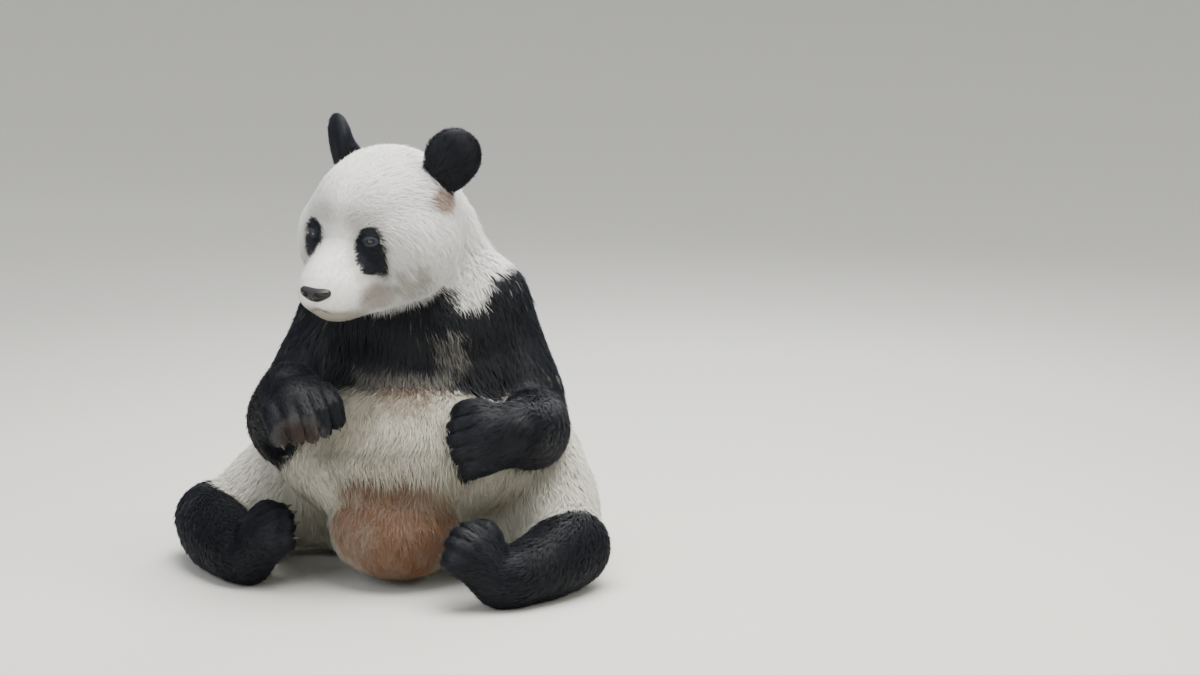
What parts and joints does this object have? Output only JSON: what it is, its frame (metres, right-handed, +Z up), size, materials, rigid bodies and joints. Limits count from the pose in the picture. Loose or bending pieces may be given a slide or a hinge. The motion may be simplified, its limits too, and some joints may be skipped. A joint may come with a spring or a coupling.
{
  "type": "giant panda model",
  "caption": "Life-size seated giant panda, still model: head turned and bent, hind legs splayed flat, forepaws held before the belly.",
  "frame": {"origin": "on the floor under the rump, on the body's middle plane", "axes": "+Z up, the trunk faces -Y, the animal's own left side is +X"},
  "size_m": [0.9332, 0.7916, 0.9308],
  "materials": {
    "white_coat": "dense white fur",
    "cream_coat": "long cream fur, rusty brown between the legs",
    "black_coat": "blue-black fur with a soft sheen",
    "nose_skin": "moist pebbled skin",
    "eye": "wet gloss"
  },
  "bodies": {
    "root": {"nose": "nose_skin", "eye_left": "eye", "eye_right": "eye", "head": "white_coat", "lower_jaw": "white_coat", "neck": "white_coat", "tail": "white_coat", "ear_left": "black_coat", "ear_right": "black_coat", "chest": "black_coat", "belly_and_rump": "cream_coat", "thigh_left": "cream_coat", "thigh_right": "cream_coat", "upper_arm_left": "black_coat", "upper_arm_right": "black_coat", "forearm_left": "black_coat", "forearm_right": "black_coat", "forepaw_left": "black_coat", "forepaw_right": "black_coat", "shank_left": "black_coat", "shank_right": "black_coat", "hind_paw_left": "black_coat", "hind_paw_right": "black_coat"}
  },
  "joints": []
}
